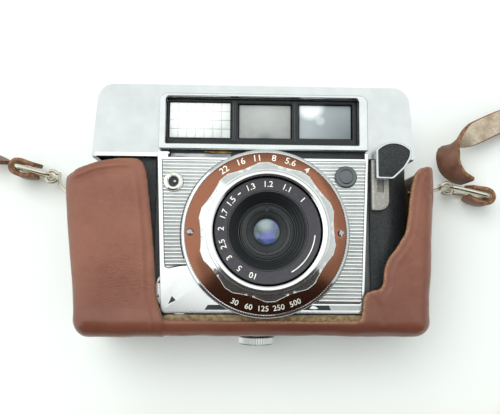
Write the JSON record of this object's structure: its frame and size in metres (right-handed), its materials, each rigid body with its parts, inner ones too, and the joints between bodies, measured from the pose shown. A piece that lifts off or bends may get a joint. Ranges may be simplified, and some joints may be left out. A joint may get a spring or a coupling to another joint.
{
  "type": "viewfinder film camera in case",
  "caption": "Viewfinder film camera with automatic exposure windows, lying on its back in the lower half of a leather case with a strap.",
  "frame": {"origin": "on the table under the middle of the case and camera, strap left out", "axes": "+Z along the lens away from the table, +Y towards the camera's top, +X to the right as one looks into the lens"},
  "size_m": [0.2655, 0.1826, 0.0574],
  "materials": {
    "case_leather": "reddish brown smooth hide, semi-gloss",
    "strap_leather": "brown hide outside, beige suede inside",
    "leatherette": "black fine-grained leatherette",
    "satin_chrome": "satin chrome",
    "bright_chrome": "polished chrome",
    "copper": "copper-coloured anodised, turned face",
    "nickel": "worn nickel plate",
    "brass": "tarnished",
    "steel": "turned",
    "cast_alloy": "blackened die casting",
    "black_enamel": "black anodised, semi-gloss",
    "black_plastic": "matt black",
    "grey_enamel": "matt grey",
    "lens_glass": "coated glass, faint blue bloom",
    "frosted_glass": "frosted",
    "lenslet_glass": "moulded lenslets",
    "meter_cell": "selenium cell"
  },
  "bodies": {
    "case": {"case_shell": "case_leather", "case_back": "case_leather", "case_stud": "brass", "left_lug": "nickel", "right_lug": "nickel", "strap_left": "strap_leather", "strap_right": "strap_leather", "strap_buckle": "nickel"},
    "case_screw": {"case_screw": "satin_chrome"},
    "left_ring": {"left_ring": "nickel", "strap_loop_left": "strap_leather"},
    "right_ring": {"right_ring": "nickel", "strap_loop_right": "strap_leather"},
    "release": {"release_key": "bright_chrome", "key_leather": "leatherette", "key_stem": "steel"},
    "focus_ring": {"focus_ring": "bright_chrome", "front_cell": "black_enamel", "name_ring": "black_enamel", "front_lens": "lens_glass"},
    "mode_dial": {"mode_dial": "satin_chrome"},
    "shutter_blade_1": {"shutter_blade_1": "steel"},
    "shutter_blade_2": {"shutter_blade_2": "steel"},
    "shutter_blade_3": {"shutter_blade_3": "steel"},
    "advance_wheel": {"advance_wheel": "satin_chrome"},
    "take_up_spool": {"take_up_spool": "black_plastic"},
    "sprocket": {"sprocket": "steel"},
    "frame_counter": {"frame_counter": "black_plastic"},
    "rewind_knob": {"rewind_knob": "satin_chrome"},
    "rewind_release": {"rewind_release": "satin_chrome"},
    "camera": {"back_door": "leatherette", "base_plate": "satin_chrome", "body_casting": "cast_alloy", "bright_frame_window": "frosted_glass", "door_latch": "bright_chrome", "eyepiece_lens": "lens_glass", "finder_tube": "black_plastic", "finder_window": "lens_glass", "front_badge": "bright_chrome", "front_plate": "satin_chrome", "leatherette_left": "leatherette", "leatherette_right": "leatherette", "lens_rim": "bright_chrome", "meter_cell": "meter_cell", "meter_movement": "steel", "meter_window": "lenslet_glass", "pressure_plate": "black_enamel", "rear_lens": "lens_glass", "release_guide": "grey_enamel", "ribbed_panel_left": "satin_chrome", "ribbed_panel_right": "satin_chrome", "shutter_housing": "black_enamel", "sync_socket": "brass", "top_cover": "satin_chrome", "trim_ring": "copper", "trim_screw_left": "steel", "trim_screw_right": "steel", "tripod_bush": "steel", "window_frame": "bright_chrome", "window_mask": "black_plastic"}
  },
  "joints": [
    {"name": "camera_lift", "type": "slide", "parent": "case", "child": "camera", "axis": [0, 1, 0], "range_m": [0, 0.1]},
    {"name": "case_screw_turn", "type": "hinge", "parent": "case", "child": "case_screw", "pos_m": [0.0008, -0.048, 0.02], "axis": [0, 1, 0], "continuous": true},
    {"name": "left_ring_swing", "type": "hinge", "parent": "case", "child": "left_ring", "pos_m": [-0.0865, 0.0167, 0.008], "axis": [0, 0, 1], "range_deg": [-14, 14]},
    {"name": "right_ring_swing", "type": "hinge", "parent": "case", "child": "right_ring", "pos_m": [0.084, 0.0134, 0.008], "axis": [0, 0, 1], "range_deg": [-14, 14]},
    {"name": "release_press", "type": "slide", "parent": "camera", "child": "release", "axis": [0, -1, 0], "range_m": [0, 0.006], "stiffness_N_per_m": 250, "springref_m": -0.002},
    {"name": "focus_turn", "type": "hinge", "parent": "camera", "child": "focus_ring", "pos_m": [0.003, -0.0086, 0.05], "axis": [0, 0, 1], "range_deg": [-75, 75]},
    {"name": "mode_dial_turn", "type": "hinge", "parent": "camera", "child": "mode_dial", "pos_m": [-0.0285, -0.0296, 0.037], "axis": [0, 0, 1], "range_deg": [-135, 0]},
    {"name": "shutter_blade_1_swing", "type": "hinge", "parent": "camera", "child": "shutter_blade_1", "pos_m": [0.003, 0.0044, 0.029], "axis": [0, 0, 1], "range_deg": [0, 60]},
    {"name": "shutter_blade_2_swing", "type": "hinge", "parent": "camera", "child": "shutter_blade_2", "pos_m": [-0.00826, -0.0151, 0.0298], "axis": [0, 0, 1], "range_deg": [0, 60]},
    {"name": "shutter_blade_3_swing", "type": "hinge", "parent": "camera", "child": "shutter_blade_3", "pos_m": [0.01426, -0.0151, 0.0306], "axis": [0, 0, 1], "range_deg": [0, 60]},
    {"name": "advance_turn", "type": "hinge", "parent": "camera", "child": "advance_wheel", "pos_m": [0.042, 0.046, 0.0156], "axis": [0, 1, 0], "continuous": true},
    {"name": "take_up_turn", "type": "hinge", "parent": "camera", "child": "take_up_spool", "pos_m": [0.045, -0.01, 0.018], "axis": [0, 1, 0], "continuous": true},
    {"name": "sprocket_turn", "type": "hinge", "parent": "camera", "child": "sprocket", "pos_m": [0.0295, -0.01, 0.0125], "axis": [0, 1, 0], "continuous": true},
    {"name": "counter_turn", "type": "hinge", "parent": "camera", "child": "frame_counter", "pos_m": [0.019, 0.0468, 0.027], "axis": [0, 1, 0], "continuous": true},
    {"name": "rewind_turn", "type": "hinge", "parent": "camera", "child": "rewind_knob", "pos_m": [-0.044, 0.0468, 0.018], "axis": [0, 1, 0], "continuous": true},
    {"name": "rewind_release_press", "type": "slide", "parent": "camera", "child": "rewind_release", "axis": [0, -1, 0], "range_m": [0, 0.0015], "stiffness_N_per_m": 300, "springref_m": -0.001}
  ],
  "couplings": [
    {"joint": "shutter_blade_1_swing", "follows": "release_press", "rad_per_m": 116.36},
    {"joint": "shutter_blade_2_swing", "follows": "release_press", "rad_per_m": 116.36},
    {"joint": "shutter_blade_3_swing", "follows": "release_press", "rad_per_m": 116.36},
    {"joint": "take_up_turn", "follows": "advance_turn", "ratio": 1},
    {"joint": "sprocket_turn", "follows": "advance_turn", "ratio": 1},
    {"joint": "counter_turn", "follows": "advance_turn", "ratio": 0.025}
  ]
}
